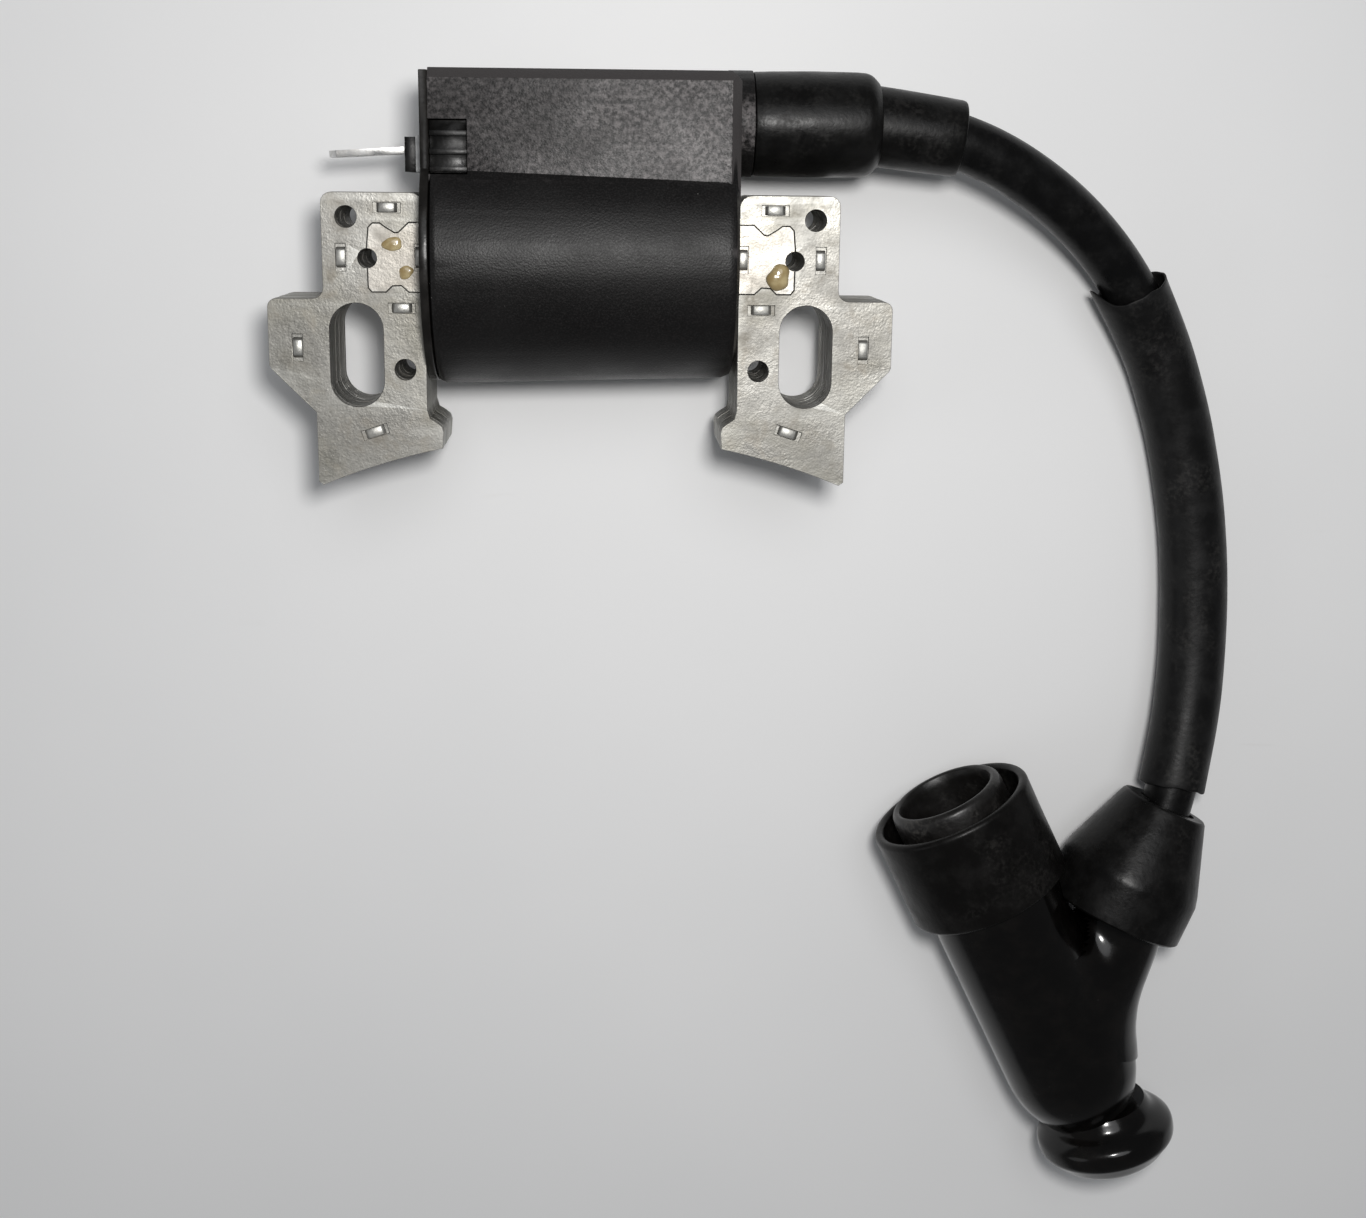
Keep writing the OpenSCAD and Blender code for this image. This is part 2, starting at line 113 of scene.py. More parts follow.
def apply_mods(ob):
    dg = bpy.context.evaluated_depsgraph_get()
    me = bpy.data.meshes.new_from_object(ob.evaluated_get(dg))
    old = ob.data
    ob.modifiers.clear()
    ob.data = me
    if old.users == 0:
        bpy.data.meshes.remove(old) if isinstance(old, bpy.types.Mesh) else None


# ---------------------------------------------------------------- the lead, first
LEAD = [
    (22, 19.6, 16), (29, 19.6, 16), (36, 19.6, 16), (42, 19.1, 16),
    (47.7, 17.7, 15.9), (52.9, 15.7, 15.2), (58, 12.9, 14), (62.8, 9.6, 12.4),
    (67.2, 5.8, 10.7), (71.1, 1.6, 9.1), (74.5, -3.1, 7.7), (77.6, -8.7, 6.4),
    (80.3, -15.2, 5.5), (82.6, -22.6, 5), (84.5, -31.5, 4.9), (85.6, -41.4, 5.2),
    (85.8, -51.4, 5.9), (85.1, -60.7, 7.2), (83.6, -69.3, 8.7), (81.6, -76.8, 9.7),
    (79.9, -82.1, 10.1), (78.1, -87.4, 10.4), (76.4, -92.7, 10.6)]
SLEEVE = [
    (73.1, -0.8, 8.3), (77.6, -8.7, 6.4), (80.3, -15.2, 5.5), (82.6, -22.6, 5),
    (84.5, -31.5, 4.9), (85.6, -41.4, 5.2), (85.8, -51.4, 5.9), (85.1, -60.7, 7.2),
    (83.3, -70.7, 8.9)]

cu = bpy.data.curves.new("plug_lead", "CURVE")
cu.dimensions = "3D"
pts = catmull([Vector(p) * MM for p in LEAD], 6)
sp = cu.splines.new("POLY")
sp.points.add(len(pts) - 1)
for q, p in zip(sp.points, pts):
    q.co = (p.x, p.y, p.z, 1)
sp.use_smooth = True
cu.bevel_depth = 3.5 * MM
cu.bevel_resolution = 9
cu.use_fill_caps = True
lead = bpy.data.objects.new("plug_lead", cu)
bpy.context.scene.collection.objects.link(lead)


def rings(path, radii, sides):
    """Rings of points along a path; radii is one radius or a function of (i, angle)."""
    out = []
    for i, p in enumerate(path):
        t = (path[min(i + 1, len(path) - 1)] - path[max(i - 1, 0)]).normalized()
        u = Vector((0, 0, 1)).cross(t).normalized()
        v = t.cross(u)
        row = []
        for k in range(sides):
            a = 2 * math.pi * k / sides
            r = radii(i, a) if callable(radii) else radii
            row.append(p + r * (math.cos(a) * u + math.sin(a) * v))
        out.append(row)
    return out


def sleeve_piece():
    """Thin hose with a cut end, a pointed corner on the outer side and a slightly oval mouth."""
    path = catmull([Vector(p) * MM for p in SLEEVE], 7)
    n = len(path)
    sides = 56

    def outer(i, a):
        flare = math.exp(-i / 3.5)
        bell = 0.25 * math.exp(-i / 4)
        flare2 = math.exp(-(n - 1 - i) / 2.5)
        q = path[i] * 1000
        w = noise.noise(Vector((q.x * 0.12, q.y * 0.12, a * 0.9))) * 0.05
        return (4.6 + w + bell + 0.07 * flare * math.cos(a) ** 2 + 0.04 * flare2) * MM

    ro = rings(path, outer, sides)
    ri = rings(path, lambda i, a: outer(i, a) - (0.45 - 0.18 * math.exp(-i / 4)) * MM, sides)
    t0 = (path[0] - path[1]).normalized()
    t1 = (path[-1] - path[-2]).normalized()
    for k in range(sides):
        a = 2 * math.pi * k / sides
        # u points to the inner side of the bend; the cut leaves a corner on the outer side
        corner = max(0.0, -math.cos(a) - 0.72) / 0.28
        ragged = 0.10 * math.sin(5 * a + 1.1) + 0.06 * math.sin(11 * a)
        move = (2.3 * corner ** 1.5 + 0.35 * math.cos(a) * -1 + ragged - 0.2) * MM
        ro[0][k] += t0 * move
        ri[0][k] += t0 * move
        low = (0.16 * math.sin(3 * a) + 0.07 * math.sin(9 * a + 2) - 0.15) * MM
        ro[-1][k] += t1 * low
        ri[-1][k] += t1 * low
    verts = [v for row in ro for v in row] + [v for row in ri[::-1] for v in row]
    m = 2 * n
    faces = []
    for i in range(m):
        j = (i + 1) % m
        for k in range(sides):
            b = (k + 1) % sides
            faces.append((i * sides + k, j * sides + k, j * sides + b, i * sides + b))
    ob = mesh_from("sleeve", verts, faces, None, 50)
    bev = ob.modifiers.new("edge", "BEVEL")
    bev.width = 0.12 * MM
    bev.segments = 2
    bev.limit_method = "ANGLE"
    bev.angle_limit = math.radians(60)
    apply_mods(ob)
    ob.data.shade_smooth()
    ob.data.set_sharp_from_angle(angle=math.radians(60))
    return ob


sleeve = sleeve_piece()


# ---------------------------------------------------------------- material kit
class Nodes:
    """Short way to write a node material. Texture positions are the object's own, in metres."""

    def __init__(self, name):
        self.mat = bpy.data.materials.new(name)
        self.mat.use_nodes = True
        self.nt = self.mat.node_tree
        self.nt.nodes.clear()
        self.out = self.nt.nodes.new("ShaderNodeOutputMaterial")
        self.b = self.nt.nodes.new("ShaderNodeBsdfPrincipled")
        self.nt.links.new(self.b.outputs[0], self.out.inputs[0])
        self.pos = self.nt.nodes.new("ShaderNodeTexCoord").outputs["Object"]

    def put(self, sock, val):
        if isinstance(val, bpy.types.NodeSocket):
            self.nt.links.new(val, sock)
        elif isinstance(val, (tuple, list)) and len(val) == 3 and sock.type == "RGBA":
            sock.default_value = (*val, 1)
        else:
            sock.default_value = val

    def noise(self, scale, detail=4.0, rough=0.55, vec=None, distortion=0.0):
        n = self.nt.nodes.new("ShaderNodeTexNoise")
        self.put(n.inputs["Vector"], vec if vec is not None else self.pos)
        n.inputs["Scale"].default_value = scale
        n.inputs["Detail"].default_value = detail
        n.inputs["Roughness"].default_value = rough
        n.inputs["Distortion"].default_value = distortion
        return n.outputs["Fac"]

    def voronoi(self, scale, vec=None, feature="F1"):
        n = self.nt.nodes.new("ShaderNodeTexVoronoi")
        n.feature = feature
        self.put(n.inputs["Vector"], vec if vec is not None else self.pos)
        n.inputs["Scale"].default_value = scale
        return n.outputs["Distance"]

    def stretch(self, sx, sy, sz, vec=None, rot=(0, 0, 0)):
        n = self.nt.nodes.new("ShaderNodeMapping")
        self.put(n.inputs["Vector"], vec if vec is not None else self.pos)
        n.inputs["Scale"].default_value = (sx, sy, sz)
        n.inputs["Rotation"].default_value = rot
        return n.outputs[0]

    def ramp(self, fac, a, b, va=0.0, vb=1.0):
        n = self.nt.nodes.new("ShaderNodeMapRange")
        n.interpolation_type = "SMOOTHSTEP"
        self.put(n.inputs["Value"], fac)
        for k, v in (("From Min", a), ("From Max", b), ("To Min", va), ("To Max", vb)):
            n.inputs[k].default_value = v
        return n.outputs[0]

    def math(self, op, a, b=0.0, clamp=False):
        n = self.nt.nodes.new("ShaderNodeMath")
        n.operation = op
        n.use_clamp = clamp
        self.put(n.inputs[0], a)
        self.put(n.inputs[1], b)
        return n.outputs[0]

    def mix(self, fac, a, b):
        n = self.nt.nodes.new("ShaderNodeMix")
        n.data_type = "RGBA"
        self.put(n.inputs[0], fac)
        self.put(n.inputs[6], a)
        self.put(n.inputs[7], b)
        return n.outputs[2]

    def axis(self, k):
        n = self.nt.nodes.new("ShaderNodeSeparateXYZ")
        self.put(n.inputs[0], self.pos)
        return n.outputs[k]

    def up(self, k=2):
        g = self.nt.nodes.new("ShaderNodeNewGeometry").outputs["True Normal"]
        n = self.nt.nodes.new("ShaderNodeSeparateXYZ")
        self.put(n.inputs[0], g)
        return n.outputs[k]

    def edge(self, lo=0.505, hi=0.56):
        g = self.nt.nodes.new("ShaderNodeNewGeometry").outputs["Pointiness"]
        return self.ramp(g, lo, hi)

    def bump(self, height, dist, strength=1.0, normal=None):
        n = self.nt.nodes.new("ShaderNodeBump")
        n.inputs["Distance"].default_value = dist
        n.inputs["Strength"].default_value = strength
        self.put(n.inputs["Height"], height)
        if normal is not None:
            self.put(n.inputs["Normal"], normal)
        return n.outputs[0]

    def set(self, **kw):
        names = dict(color="Base Color", rough="Roughness", metal="Metallic", normal="Normal",
                     coat="Coat Weight", coat_rough="Coat Roughness", ior="IOR",
                     spec="Specular IOR Level", sheen="Sheen Weight",
                     trans="Transmission Weight", sss="Subsurface Weight")
        for k, v in kw.items():
            self.put(self.b.inputs[names[k]], v)
        return self.mat


def steel(name, tint, stain=0.5, bright=1.0):
    m = Nodes(name)
    big = m.ramp(m.noise(95, 5, 0.62), 0.42, 0.66)
    blot = m.ramp(m.noise(330, 5, 0.6, distortion=0.6), 0.5, 0.72)
    fine = m.noise(2600, 3, 0.6)
    pits = m.ramp(m.voronoi(900), 0.02, 0.16, 1.0, 0.0)
    pits = m.math("MULTIPLY", pits, m.ramp(m.noise(420, 2), 0.5, 0.62))
    base = m.mix(m.ramp(fine, 0.3, 0.7), tuple(c * 0.86 * bright for c in tint),
                 tuple(min(1, c * 1.1 * bright) for c in tint))
    base = m.mix(m.math("MULTIPLY", big, stain), base, (0.20, 0.19, 0.155))
    base = m.mix(m.math("MULTIPLY", blot, stain * 0.55), base, (0.24, 0.205, 0.155))
    base = m.mix(m.math("MULTIPLY", pits, 0.6), base, (0.10, 0.09, 0.075))
    base = m.mix(m.math("MULTIPLY", m.edge(0.51, 0.58), 0.55), base, (0.66, 0.66, 0.63))
    rough = m.math("ADD", m.ramp(m.noise(240, 4), 0.3, 0.7, 0.36, 0.52),
                   m.math("MULTIPLY", blot, 0.12))
    grain = m.noise(3800, 2, 0.6)
    nrm = m.bump(grain, 0.00004, 0.5)
    nrm = m.bump(m.noise(620, 3), 0.00012, 0.35, nrm)
    return m.set(color=base, rough=rough, metal=0.86, normal=nrm)


def black_plastic(name, base, light, rough, grain_scale, grain_depth, speck=0.3, painted_highlight=None):
    m = Nodes(name)
    g = m.noise(grain_scale, 3, 0.6)
    cell = m.voronoi(grain_scale * 0.8)
    big = m.noise(140, 4)
    col = m.mix(m.ramp(g, 0.44, 0.72, 0, speck), base, light)
    col = m.mix(m.ramp(big, 0.35, 0.75, 0, 0.35), col, tuple(c * 1.5 + 0.004 for c in base))
    dust = m.math("MULTIPLY", m.ramp(m.voronoi(520), 0.0, 0.05, 1, 0),
                  m.ramp(m.noise(200, 2), 0.52, 0.6))
    col = m.mix(m.math("MULTIPLY", dust, 0.5), col, (0.35, 0.34, 0.32))
    col = m.mix(m.math("MULTIPLY", m.edge(0.52, 0.6), 0.25), col, light)
    # An optional mask of painted highlight, mixed towards the light grain colour.
    if painted_highlight is not None:
        col = m.mix(painted_highlight(m), col, light)
    nrm = m.bump(m.math("ADD", g, m.math("MULTIPLY", cell, 0.7)), grain_depth, 0.8)
    r = m.math("ADD", m.ramp(m.noise(90, 3), 0.3, 0.7, rough - 0.05, rough + 0.06),
               m.ramp(g, 0.3, 0.7, -0.04, 0.05))
    return m.set(color=col, rough=r, normal=nrm, spec=0.25)


def rubber(name, base, rough, dusty=0.2, spec=0.5):
    m = Nodes(name)
    n1 = m.noise(300, 5, 0.6)
    n2 = m.noise(1700, 3)
    col = m.mix(m.ramp(n1, 0.4, 0.75, 0, 0.6), base, tuple(c * 2.0 + 0.004 for c in base))
    d = m.math("MULTIPLY", m.ramp(m.noise(130, 6, 0.7), 0.46, 0.72), m.ramp(n2, 0.4, 0.66))
    col = m.mix(m.math("MULTIPLY", d, dusty), col, (0.20, 0.19, 0.175))
    specks = m.math("MULTIPLY", m.ramp(m.voronoi(700), 0.0, 0.045, 1, 0),
                    m.ramp(m.noise(260, 2), 0.5, 0.58))
    col = m.mix(m.math("MULTIPLY", specks, dusty * 1.6, True), col, (0.34, 0.33, 0.31))
    r = m.math("ADD", m.ramp(n1, 0.3, 0.7, rough - 0.06, rough + 0.07),
               m.math("MULTIPLY", d, 0.15))
    nrm = m.bump(n2, 0.00005, 0.45)
    nrm = m.bump(m.noise(380, 3), 0.00014, 0.35, nrm)
    return m.set(color=col, rough=r, normal=nrm, spec=spec)


def phenolic(name):
    m = Nodes(name)
    n1 = m.noise(260, 5, 0.6)
    col = m.mix(m.ramp(n1, 0.4, 0.75), (0.0018, 0.0016, 0.0015), (0.0045, 0.0037, 0.0032))
    haze = m.math("MULTIPLY", m.ramp(m.noise(110, 6, 0.7), 0.5, 0.75), 0.4)
    col = m.mix(haze, col, (0.008, 0.007, 0.006))
    specks = m.math("MULTIPLY", m.ramp(m.voronoi(640), 0.0, 0.035, 1, 0),
                    m.ramp(m.noise(240, 2), 0.54, 0.6))
    col = m.mix(m.math("MULTIPLY", specks, 0.5), col, (0.3, 0.29, 0.27))
    r = m.math("ADD", m.ramp(n1, 0.3, 0.7, 0.13, 0.22), m.math("MULTIPLY", haze, 0.35))
    nrm = m.bump(m.noise(170, 3), 0.00022, 0.22)
    nrm = m.bump(m.noise(900, 2), 0.00003, 0.25, nrm)
    return m.set(color=col, rough=r, normal=nrm, coat=0.25, coat_rough=0.08, spec=0.25)


def metal(name, color, dark, rough, scale=900):
    m = Nodes(name)
    n = m.noise(scale, 4)
    col = m.mix(m.ramp(n, 0.35, 0.7), color, dark)
    col = m.mix(m.math("MULTIPLY", m.edge(), 0.4), col, tuple(min(1, c * 1.25) for c in color))
    r = m.ramp(m.noise(scale * 0.5, 3), 0.3, 0.7, rough - 0.06, rough + 0.1)
    return m.set(color=col, rough=r, metal=0.95, normal=m.bump(m.noise(scale * 3, 2), 0.00003, 0.5))


def enamel_wire(name, pitch):
    """Copper wire wound round the X axis, as fine ridges along X."""
    m = Nodes(name)
    x = m.axis(0)
    w = m.math("SINE", m.math("MULTIPLY", x, 2 * math.pi / pitch))
    n = m.noise(700, 4)
    col = m.mix(m.ramp(n, 0.3, 0.7), (0.52, 0.20, 0.075), (0.66, 0.30, 0.12))
    # Painted shade: the grooves between the turns are painted dark brown.
    col = m.mix(m.ramp(w, -1, -0.2, 0.7, 0), col, (0.14, 0.05, 0.02))
    r = m.ramp(n, 0.3, 0.7, 0.25, 0.4)
    return m.set(color=col, rough=r, metal=0.9, normal=m.bump(w, pitch * 0.35, 0.9))


def moulded(name, c0, c1, rough=0.45, scale=500):
    m = Nodes(name)
    n = m.noise(scale, 5)
    col = m.mix(m.ramp(n, 0.35, 0.7), c0, c1)
    col = m.mix(m.math("MULTIPLY", m.edge(), 0.3), col, tuple(min(1, c * 1.3 + 0.02) for c in c1))
    r = m.ramp(m.noise(scale * 0.4, 3), 0.3, 0.7, rough - 0.07, rough + 0.08)
    return m.set(color=col, rough=r, normal=m.bump(m.noise(scale * 5, 2), 0.00004, 0.5))


M_PLATE = steel("bare_plate", (0.235, 0.228, 0.210), 0.55)
M_BAR = steel("bare_bar", (0.34, 0.318, 0.285), 0.35, 1.05)


def box_face_painted_highlight(m):
    """Painted highlight: the near, up-facing face of the box is painted greyer in fine speckles, most of
    all towards its right end, as the light's reflection off its grain.
    """
    up = m.ramp(m.up(2), 0.8, 0.97)
    along = m.ramp(m.axis(0), -0.019, 0.019, 0.5, 1.0)
    g = m.ramp(m.noise(1500, 4, 0.72), 0.38, 0.66)
    patch = m.ramp(m.noise(150, 4, 0.6), 0.3, 0.7, 0.45, 1.0)
    box = m.ramp(m.axis(1), 0.0118, 0.0124)
    k = m.math("MULTIPLY", m.math("MULTIPLY", up, along), m.math("MULTIPLY", g, patch))
    return m.math("MULTIPLY", k, box)


# The case carries the painted highlight on its near face.
M_CASE = black_plastic("grained_case", (0.0045, 0.0042, 0.0042), (0.185, 0.17, 0.17), 0.43, 4600,
                       0.000028, 0.05, box_face_painted_highlight)
M_RESIN = black_plastic("potting_resin", (0.006, 0.0055, 0.005), (0.06, 0.055, 0.05), 0.3, 600,
                        0.00006, 0.15)
M_BOOT = rubber("boot_rubber", (0.0032, 0.0031, 0.003), 0.33, 0.05, 0.2)
M_COLLAR = rubber("collar_rubber", (0.0034, 0.0031, 0.0029), 0.35, 0.06, 0.18)
M_SEAL = rubber("mouth_rubber", (0.006, 0.0055, 0.0052), 0.38, 0.22, 0.4)
M_LEAD = rubber("lead_rubber", (0.0032, 0.0032, 0.0033), 0.33, 0.05, 0.2)
M_SLEEVE = rubber("sleeve_rubber", (0.005, 0.005, 0.0051), 0.4, 0.09, 0.22)
M_CAP = phenolic("cap_phenolic")
M_GREY = moulded("grey_seal", (0.33, 0.335, 0.34), (0.55, 0.555, 0.55), 0.5, 900)
M_TIN = metal("tin_plate", (0.72, 0.72, 0.71), (0.42, 0.40, 0.37), 0.3)
M_BRASS = metal("brass", (0.72, 0.55, 0.26), (0.45, 0.33, 0.16), 0.32)
M_COPPER = metal("bare_copper", (0.72, 0.36, 0.18), (0.40, 0.18, 0.09), 0.35)
M_WIRE1 = enamel_wire("primary_wire", 0.0006)
M_WIRE2 = enamel_wire("secondary_wire", 0.00024)
M_BOBBIN = moulded("bobbin_plastic", (0.60, 0.57, 0.48), (0.72, 0.69, 0.60))
M_BOARD = moulded("circuit_board", (0.035, 0.15, 0.07), (0.06, 0.22, 0.11), 0.35)
M_CHIP = moulded("chip_plastic", (0.018, 0.018, 0.020), (0.04, 0.04, 0.043), 0.4)
M_PARTS = moulded("component_body", (0.30, 0.19, 0.09), (0.42, 0.28, 0.14), 0.4, 800)
M_CERAMIC = moulded("resistor_body", (0.50, 0.38, 0.25), (0.62, 0.50, 0.36), 0.5, 700)


def varnish():
    m = Nodes("locking_varnish")
    n = m.noise(500, 4)
    col = m.mix(m.ramp(n, 0.35, 0.7), (0.30, 0.22, 0.10), (0.52, 0.43, 0.24))
    r = m.ramp(m.noise(260, 3), 0.3, 0.7, 0.1, 0.28)
    return m.set(color=col, rough=r, normal=m.bump(m.noise(700, 3), 0.00018, 0.6), coat=0.6,
                 coat_rough=0.08)


M_VARNISH = varnish()
lead.data.materials.append(M_LEAD)
sleeve.data.materials.append(M_SLEEVE)


# ---------------------------------------------------------------- laminated steel
def top_loops(node, z, tol=2e-5):
    """Boundary loops of a CAD node's flat face at height z, as lists of (x, y)."""
    bm = bmesh.new()
    bm.from_mesh(N[node].data)
    bmesh.ops.remove_doubles(bm, verts=bm.verts, dist=2e-6)
    keep = set(f for f in bm.faces if all(abs(v.co.z - z) < tol for v in f.verts))
    nxt = {}
    for f in keep:
        for lp in f.loops:
            e = lp.edge
            if sum(1 for g in e.link_faces if g in keep) == 1:
                nxt.setdefault(lp.vert.index, []).append(lp.link_loop_next.vert.index)
    co = {v.index: (v.co.x, v.co.y) for v in bm.verts}
    bm.free()
    loops = []
    while nxt:
        start = next(iter(nxt))
        cur = start
        ring = []
        while cur in nxt:
            ring.append(cur)
            n = nxt[cur].pop()
            if not nxt[cur]:
                del nxt[cur]
            cur = n
            if cur == start:
                break
        if len(ring) > 2:
            loops.append([co[i] for i in ring])
    return loops


def area(loop):
    return 0.5 * sum(a[0] * b[1] - b[0] * a[1] for a, b in zip(loop, loop[1:] + loop[:1]))


def plate_mesh(loops, t, bev, inset):
    """A flat sheet with holes, its edges slightly rolled and drawn in by inset."""
    c = bpy.data.curves.new("tmp", "CURVE")
    c.dimensions = "2D"
    c.fill_mode = "BOTH"
    for lp in loops:
        s = c.splines.new("POLY")
        s.points.add(len(lp) - 1)
        for q, p in zip(s.points, lp):
            q.co = (p[0], p[1], 0, 1)
        s.use_cyclic_u = True
    c.extrude = t / 2 - bev
    c.bevel_depth = bev
    c.bevel_resolution = 1
    c.offset = -bev - inset
    o = bpy.data.objects.new("tmp", c)
    bpy.context.scene.collection.objects.link(o)
    dg = bpy.context.evaluated_depsgraph_get()
    me = bpy.data.meshes.new_from_object(o.evaluated_get(dg))
    bpy.data.objects.remove(o)
    bpy.data.curves.remove(c)
    return me


def stack(name, node, mat, z0, z1, count, jitter, seed):
    """The node's outline as a stack of thin plates, the near one with its pressed dimples."""
    rnd = random.Random(seed)
    loops = top_loops(node, z1 * MM)
    dimples = [lp for lp in loops if len(lp) <= 5 and abs(area(lp)) < 6e-6]
    rest = [lp for lp in loops if not (len(lp) <= 5 and abs(area(lp)) < 6e-6)]
    t = (z1 - z0) / count
    plain = plate_mesh(rest, (t - 0.03) * MM, 0.05 * MM, jitter * MM)
    first = plate_mesh(rest + dimples, (t - 0.03) * MM, 0.055 * MM, jitter * MM)
    bm = bmesh.new()
    for k in range(count):
        me = first if k == count - 1 else plain
        n0 = len(bm.verts)
        bm.from_mesh(me)
        bm.verts.ensure_lookup_table()
        j = jitter if k < count - 1 else jitter * 0.3
        d = Vector((rnd.uniform(-j, j), rnd.uniform(-j, j), z0 + (k + 0.5) * t)) * MM
        bmesh.ops.translate(bm, verts=bm.verts[n0:], vec=d)
    for lp in dimples:
        dimple(bm, lp, z1)
    me = bpy.data.meshes.new(name)
    bm.to_mesh(me)
    bm.free()
    bpy.data.meshes.remove(plain)
    bpy.data.meshes.remove(first)
    return link(name, me, mat, 45)


def dimple(bm, lp, z1):
    """A pressed tongue: a flat middle just under the surface, and ends that slope down."""
    ps = [Vector((p[0], p[1], 0)) for p in lp[:4]]
    c = sum(ps, Vector()) / 4
    e0 = ps[1] - ps[0]
    e1 = ps[2] - ps[1]
    u, v = (e0, e1) if e0.length > e1.length else (e1, e0)
    hl, hw = u.length / 2, v.length / 2
    u = u.normalized()
    v = v.normalized()
    prof = [(-1.0, -1.0), (-0.86, -0.7), (-0.62, -0.2), (-0.50, -0.08), (0.50, -0.08), (0.62, -0.2),
            (0.86, -0.7), (1.0, -1.0)]
    rows = []
    for s, dz in prof:
        row = []
        for w in (-0.93, -0.8, 0.8, 0.93):
            drop = -0.05 if abs(w) > 0.85 else 0.0
            row.append(bm.verts.new(c + u * (hl * s) + v * (hw * w)
                                    + Vector((0, 0, (z1 + dz + drop) * MM))))
        rows.append(row)
    for a, b in zip(rows, rows[1:]):
        for k in range(3):
            bm.faces.new((a[k], b[k], b[k + 1], a[k + 1]))


left = stack("left_leg_plates", "left_leg", M_PLATE, 8.5, 23.5, 30, 0.035, 3)
right = stack("right_leg_plates", "right_leg", M_PLATE, 8.5, 23.5, 30, 0.035, 5)
bar = stack("core_bar_plates", "core_bar", M_BAR, 8.5, 23.5, 30, 0.02, 7)


def drop(at, r, h, squash, seed):
    """An irregular drop of set varnish, lying on the near face."""
    rnd = random.Random(seed)
    ph = [rnd.uniform(0, 6.28) for _ in range(4)]
    rows, verts, faces = 9, [], []
    sides = 28
    for i in range(rows):
        q = i / (rows - 1)
        rr = r * math.cos(q * math.pi / 2) ** 0.75
        zz = h * math.sin(q * math.pi / 2)
        for k in range(sides):
            a = 2 * math.pi * k / sides
            w = 1 + 0.10 * math.sin(2 * a + ph[0]) + 0.07 * math.sin(3 * a + ph[1]) \
                + 0.04 * math.sin(5 * a + ph[2])
            verts.append((at[0] + rr * w * math.cos(a), at[1] + rr * w * squash * math.sin(a),
                          at[2] + zz * (1 + 0.12 * math.sin(a + ph[3]) * (1 - q))))
    for i in range(rows - 1):
        for k in range(sides):
            b = (k + 1) % sides
            faces.append((i * sides + k, i * sides + b, (i + 1) * sides + b, (i + 1) * sides + k))
    faces.append(tuple((rows - 1) * sides + k for k in range(sides)))
    return verts, faces


def drops():
    verts, faces = [], []
    for i, (at, r, h, sq) in enumerate((((24.4, 0.85, 23.48), 1.5, 0.78, 1.05),
                                        ((-23.3, 4.6, 23.48), 1.15, 0.3, 0.8),
                                        ((-21.7, 1.2, 23.48), 0.9, 0.26, 0.9))):
        v, f = drop(at, r, h, sq, 20 + i)
        n = len(verts)
        verts += [Vector(p) * MM for p in v]
        faces += [tuple(k + n for k in g) for g in f]
    return mesh_from("varnish_drops", verts, faces, M_VARNISH, 60)


varnish_drops = drops()


# ---------------------------------------------------------------- dressed CAD shapes
def dress(node, name, mat, width, seg=2, angle=32, smooth=32, dissolve=0.6):
    """A copy of a CAD shape with its sharp edges rounded."""
    me = N[node].data.copy()
    bm = bmesh.new()
    bm.from_mesh(me)
    bmesh.ops.remove_doubles(bm, verts=bm.verts, dist=3e-6)
    bmesh.ops.dissolve_limit(bm, angle_limit=math.radians(dissolve), verts=bm.verts, edges=bm.edges)
    bm.to_mesh(me)
    bm.free()
    if me.has_custom_normals:
        me.normals_split_custom_set([(0, 0, 0)] * len(me.loops))
    ob = link(name, me, mat, smooth)
    if width:
        b = ob.modifiers.new("edge", "BEVEL")
        b.width = width * MM
        b.segments = seg
        b.limit_method = "ANGLE"
        b.angle_limit = math.radians(angle)
        b.harden_normals = False
        w = ob.modifiers.new("shade", "WEIGHTED_NORMAL")
        w.keep_sharp = True
        apply_mods(ob)
        ob.data.shade_smooth()
        ob.data.set_sharp_from_angle(angle=math.radians(smooth + 10))
    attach(ob, N[node]["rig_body"])
    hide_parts(node)
    return ob


case = dress("coil_case", "case", M_CASE, 0.28, 3)
plate = dress("end_plate", "end_plate_edge", M_RESIN, 0.12)
block = dress("terminal_block", "terminal_block_ribs", M_BOOT, 0.1)
blade = dress("kill_terminal", "kill_blade", M_TIN, 0.1)
seal = dress("terminal_seal", "terminal_seal_pad", M_GREY, 0.12)


# ---------------------------------------------------------------- turned pieces
def fillet(prof, n=5):
    """Rounds the corners of a profile; each point is (t, r) or (t, r, corner radius)."""
    out = []
    m = len(prof)
    for i, p in enumerate(prof):
        rad = p[2] if len(p) > 2 else 0
        if rad == 0 or i in (0, m - 1):
            out.append((p[0], p[1]))
            continue
        a, c = Vector(prof[i - 1][:2]), Vector(prof[i + 1][:2])
        b = Vector(p[:2])
        la, lc = (a - b).length, (c - b).length
        d = min(rad, 0.48 * la, 0.48 * lc)
        p0 = b + (a - b) * (d / la)
        p1 = b + (c - b) * (d / lc)
        for k in range(n + 1):
            t = k / n
            q = (1 - t) ** 2 * p0 + 2 * t * (1 - t) * b + t * t * p1
            out.append((q.x, q.y))
    return out


